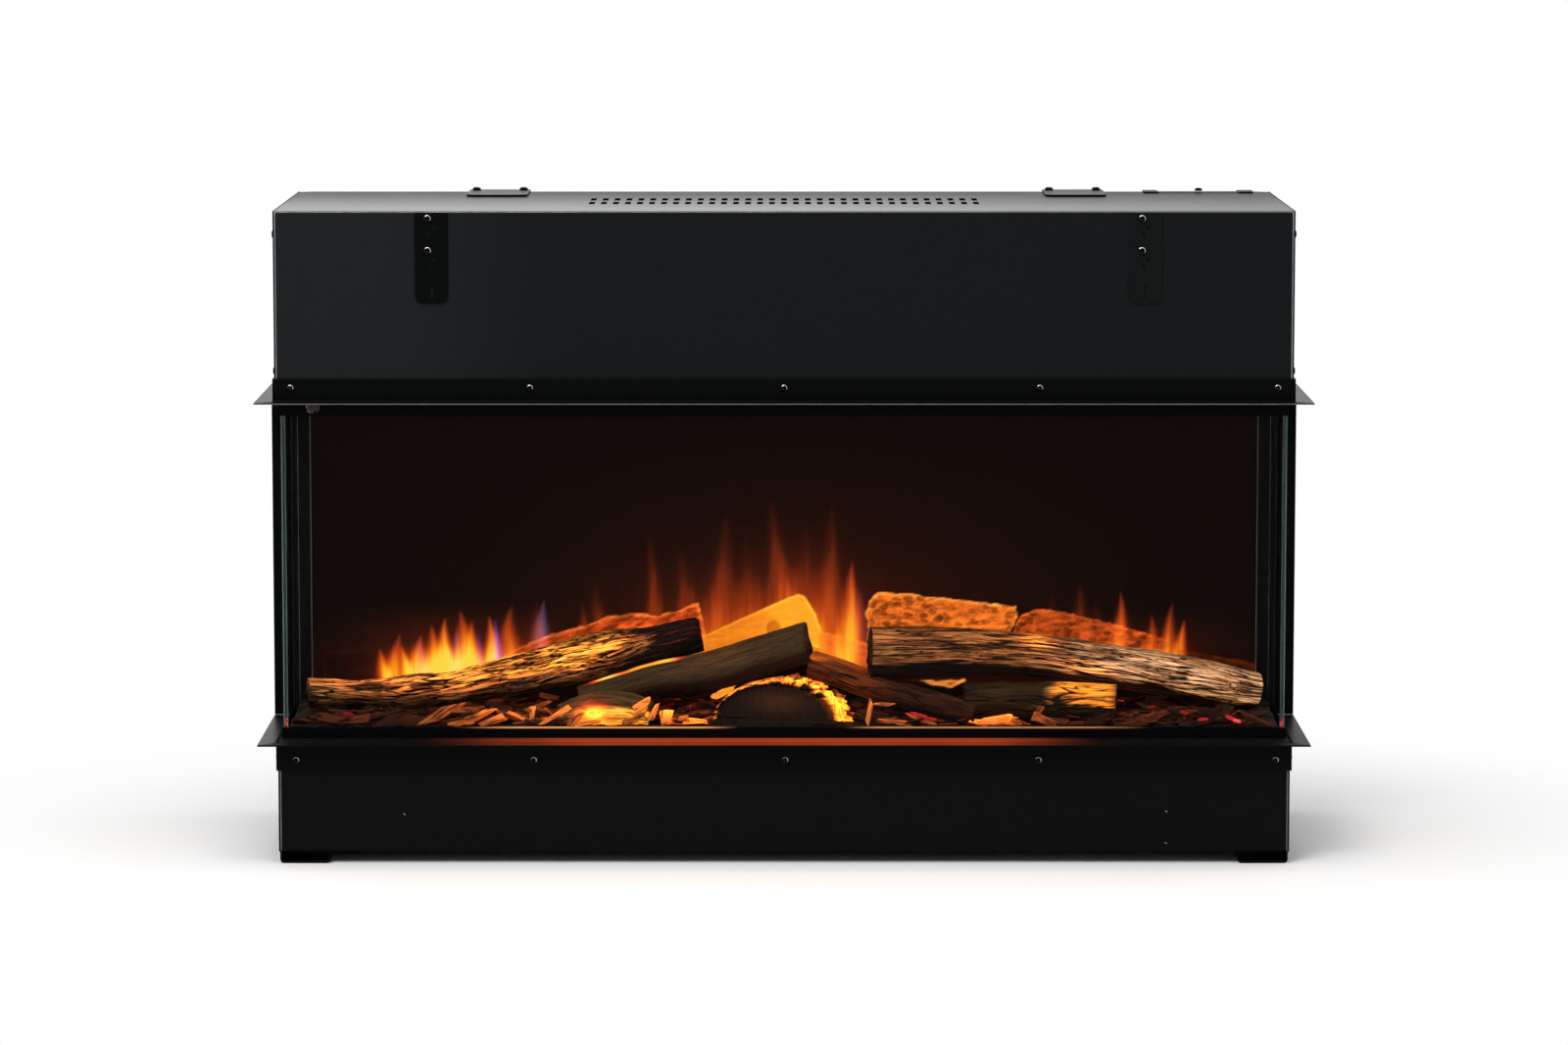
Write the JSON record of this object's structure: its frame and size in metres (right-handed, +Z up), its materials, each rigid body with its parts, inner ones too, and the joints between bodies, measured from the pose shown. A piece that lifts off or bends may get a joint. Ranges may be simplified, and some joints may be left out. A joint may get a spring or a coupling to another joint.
{
  "type": "three-sided inset electric fireplace",
  "caption": "Wide inset electric fire glazed at the front and both sides, with bark and logs before a mirrored flame screen, a flicker spindle behind it and a fan heater in the hood.",
  "frame": {"origin": "on the floor, under the centre of the whole object", "axes": "+X to the right when facing the front, -Y out of the front, +Z up"},
  "size_m": [1.074, 0.3396, 0.6706],
  "materials": {
    "casing_paint": "satin black powder coat",
    "plinth_paint": "satin black powder coat",
    "trim_paint": "matt black powder coat",
    "bracket_paint": "satin black powder coat",
    "zinc_sheet": "galvanised",
    "black_plastic": "moulded",
    "smoked_lens": "smoked, polished",
    "clear_glass": "clear toughened, polished edges",
    "smoked_mirror": "smoked, part mirrored",
    "diffuser_acrylic": "frosted",
    "polished_aluminium": "polished",
    "motor_paint": "satin",
    "circuit_board": "solder mask",
    "pale_bark": "cast resin, painted as bark",
    "charred_log": "cast resin, painted as charred wood",
    "bark_chips": "translucent cast resin with bark chips"
  },
  "bodies": {
    "casing": {"hood": "casing_paint", "base_pan": "plinth_paint", "upper_side_left": "casing_paint", "upper_side_right": "casing_paint", "lower_side_left": "plinth_paint", "lower_side_right": "plinth_paint", "rear_cheek_left": "casing_paint", "rear_cheek_right": "casing_paint", "back_panel": "casing_paint", "base_runner_left": "trim_paint", "base_runner_right": "trim_paint", "upper_trim_front": "trim_paint", "upper_trim_left": "trim_paint", "upper_trim_right": "trim_paint", "lower_trim_front": "trim_paint", "lower_trim_left": "trim_paint", "lower_trim_right": "trim_paint", "side_jamb_left": "trim_paint", "side_jamb_right": "trim_paint", "front_strap_left": "bracket_paint", "front_strap_right": "bracket_paint", "top_bracket_left": "bracket_paint", "top_bracket_right": "bracket_paint", "terminal_box": "zinc_sheet", "terminal_cover": "bracket_paint", "terminal_block": "black_plastic", "cable_gland": "black_plastic", "remote_receiver": "smoked_lens", "chamber_roof": "trim_paint", "fire_pan": "trim_paint", "side_glass_left": "clear_glass", "side_glass_right": "clear_glass", "screen_post_left": "trim_paint", "screen_post_right": "trim_paint", "mirror_screen": "smoked_mirror", "diffuser_screen": "diffuser_acrylic", "flame_mask": "zinc_sheet", "spindle_bush_bracket": "zinc_sheet", "motor_bracket": "zinc_sheet", "spindle_motor": "motor_paint", "flame_lamp_board": "circuit_board", "ember_lamp_board": "circuit_board", "log_long_left": "pale_bark", "log_long_right": "pale_bark", "log_centre": "charred_log", "log_small_right": "charred_log", "log_dark_right": "charred_log", "log_half_front": "charred_log", "log_low_left": "charred_log", "bark_bed": "bark_chips", "blower_housing": "zinc_sheet", "blower_motor": "motor_paint", "heater_element": "polished_aluminium", "thermal_cutout": "black_plastic", "control_board": "circuit_board"},
    "front_pane": {"front_glass": "clear_glass"},
    "spindle": {"flame_spindle": "polished_aluminium"},
    "impeller": {"blower_impeller": "polished_aluminium"}
  },
  "joints": [
    {"name": "front_glass_lift", "type": "slide", "parent": "casing", "child": "front_pane", "axis": [0, 0, 1], "range_m": [0, 0.012]},
    {"name": "flame_spindle_spin", "type": "hinge", "parent": "casing", "child": "spindle", "pos_m": [0, 0.11375, 0.098], "axis": [1, 0, 0], "continuous": true},
    {"name": "blower_spin", "type": "hinge", "parent": "casing", "child": "impeller", "pos_m": [0, -0.10425, 0.563], "axis": [1, 0, 0], "continuous": true}
  ]
}
